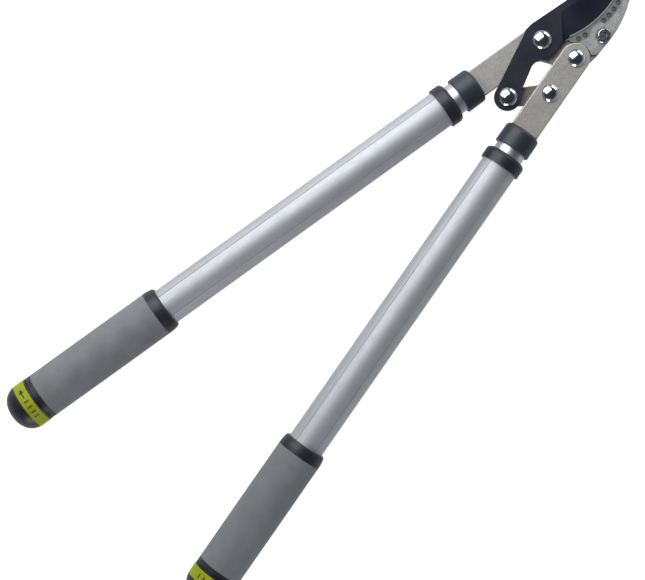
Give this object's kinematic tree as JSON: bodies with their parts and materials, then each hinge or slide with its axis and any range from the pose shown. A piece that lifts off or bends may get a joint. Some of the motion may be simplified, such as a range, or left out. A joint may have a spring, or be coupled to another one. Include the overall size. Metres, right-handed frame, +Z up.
{
  "type": "bypass loppers",
  "caption": "Telescopic bypass loppers with a compound linkage: curved coated blade, hooked counter-blade, flat steel arms and extending aluminium handles with twist-lock knobs.",
  "frame": {"origin": "centre of the closed, retracted tool's footprint, on the surface that it lies on", "axes": "+X along the tool's centre line towards the blade's tip, +Y towards the left handle, +Z up from the surface, square to the blade"},
  "size_m": [0.6674, 0.2642, 0.0422],
  "materials": {
    "arm_enamel": "warm grey hammer-finish enamel, satin",
    "link_steel": "darker warm grey hammer-finish enamel, satin",
    "blade_coating": "dark blue-black non-stick coating, satin",
    "hook_steel": "tumbled bare steel with a rubbed sliding face",
    "zinc_steel": "zinc plated",
    "polished_chrome": "polished",
    "bright_aluminium": "bright drawn",
    "satin_aluminium": "satin anodised",
    "grip_rubber": "matt mid grey soft grip",
    "band_plastic": "lime green, satin",
    "cap_plastic": "dark slate, fine texture",
    "black_plastic": "near-black slate, satin",
    "brass": "turned",
    "inner_plastic": "natural black nylon"
  },
  "bodies": {
    "frame": {"frame_arm": "arm_enamel", "hook_plate": "hook_steel", "hook_bolt": "zinc_steel", "hook_nut": "zinc_steel", "main_pivot_bolt": "polished_chrome", "main_pivot_nut": "zinc_steel", "arm_pivot_bolt": "polished_chrome", "arm_pivot_nut": "zinc_steel", "arm_pivot_washer": "zinc_steel", "left_socket_cap": "cap_plastic", "left_tang_plug": "inner_plastic", "left_tang_pins": "zinc_steel", "left_inner_tube": "bright_aluminium", "left_inner_guide": "inner_plastic"},
    "right_arm": {"right_arm": "arm_enamel", "arm_link_bolt": "polished_chrome", "arm_link_nut": "zinc_steel", "arm_link_washer": "zinc_steel", "right_socket_cap": "cap_plastic", "right_tang_plug": "inner_plastic", "right_tang_pins": "zinc_steel", "right_inner_tube": "bright_aluminium", "right_inner_guide": "inner_plastic"},
    "blade": {"blade": "blade_coating", "tail_link_bolt": "polished_chrome", "tail_link_nut": "zinc_steel", "tail_link_spacer": "zinc_steel"},
    "link": {"link_plate": "link_steel"},
    "left_outer_handle": {"left_outer_tube": "satin_aluminium", "left_tube_collar": "black_plastic", "left_grip_sleeve": "grip_rubber", "left_grip_front_ring": "black_plastic", "left_grip_rear_ring": "black_plastic", "left_knob_bearing": "inner_plastic", "left_lock_collet": "inner_plastic"},
    "left_knob": {"left_knob": "black_plastic", "left_knob_band": "band_plastic", "left_lock_rod": "zinc_steel"},
    "left_wedge": {"left_wedge_nut": "brass"},
    "right_outer_handle": {"right_outer_tube": "satin_aluminium", "right_tube_collar": "black_plastic", "right_grip_sleeve": "grip_rubber", "right_grip_front_ring": "black_plastic", "right_grip_rear_ring": "black_plastic", "right_knob_bearing": "inner_plastic", "right_lock_collet": "inner_plastic"},
    "right_knob": {"right_knob": "black_plastic", "right_knob_band": "band_plastic", "right_lock_rod": "zinc_steel"},
    "right_wedge": {"right_wedge_nut": "brass"}
  },
  "joints": [
    {"name": "handle_open", "type": "hinge", "parent": "frame", "child": "right_arm", "pos_m": [0.2353, -0.01691, 0.0207], "axis": [0, 0, 1], "range_deg": [0, 60]},
    {"name": "blade_turn", "type": "hinge", "parent": "frame", "child": "blade", "pos_m": [0.2257, 0.01539, 0.0207], "axis": [0, 0, 1], "range_deg": [0, 40]},
    {"name": "link_turn", "type": "hinge", "parent": "blade", "child": "link", "pos_m": [0.1693, 0.00159, 0.0207], "axis": [0, 0, 1], "range_deg": [-37, 0]},
    {"name": "left_extend", "type": "slide", "parent": "frame", "child": "left_outer_handle", "axis": [-0.9856, 0.1693, 0], "range_m": [0, 0.32]},
    {"name": "left_knob_turn", "type": "hinge", "parent": "left_outer_handle", "child": "left_knob", "pos_m": [-0.30679, 0.10956, 0.0211], "axis": [-0.9856, 0.1693, 0], "range_deg": [0, 180]},
    {"name": "left_wedge_slide", "type": "slide", "parent": "left_outer_handle", "child": "left_wedge", "axis": [0.9856, -0.1693, 0], "range_m": [0, 0.0021]},
    {"name": "right_extend", "type": "slide", "parent": "right_arm", "child": "right_outer_handle", "axis": [-0.9856, -0.1693, 0], "range_m": [0, 0.32]},
    {"name": "right_knob_turn", "type": "hinge", "parent": "right_outer_handle", "child": "right_knob", "pos_m": [-0.30745, -0.10956, 0.0211], "axis": [-0.9856, -0.1693, 0], "range_deg": [0, 180]},
    {"name": "right_wedge_slide", "type": "slide", "parent": "right_outer_handle", "child": "right_wedge", "axis": [0.9856, 0.1693, 0], "range_m": [0, 0.0021]}
  ],
  "couplings": [
    {"joint": "blade_turn", "follows": "handle_open", "ratio": 0.656},
    {"joint": "link_turn", "follows": "handle_open", "ratio": -0.605},
    {"joint": "left_wedge_slide", "follows": "left_knob_turn", "m_per_rad": 0.00063662},
    {"joint": "right_wedge_slide", "follows": "right_knob_turn", "m_per_rad": 0.00063662}
  ]
}
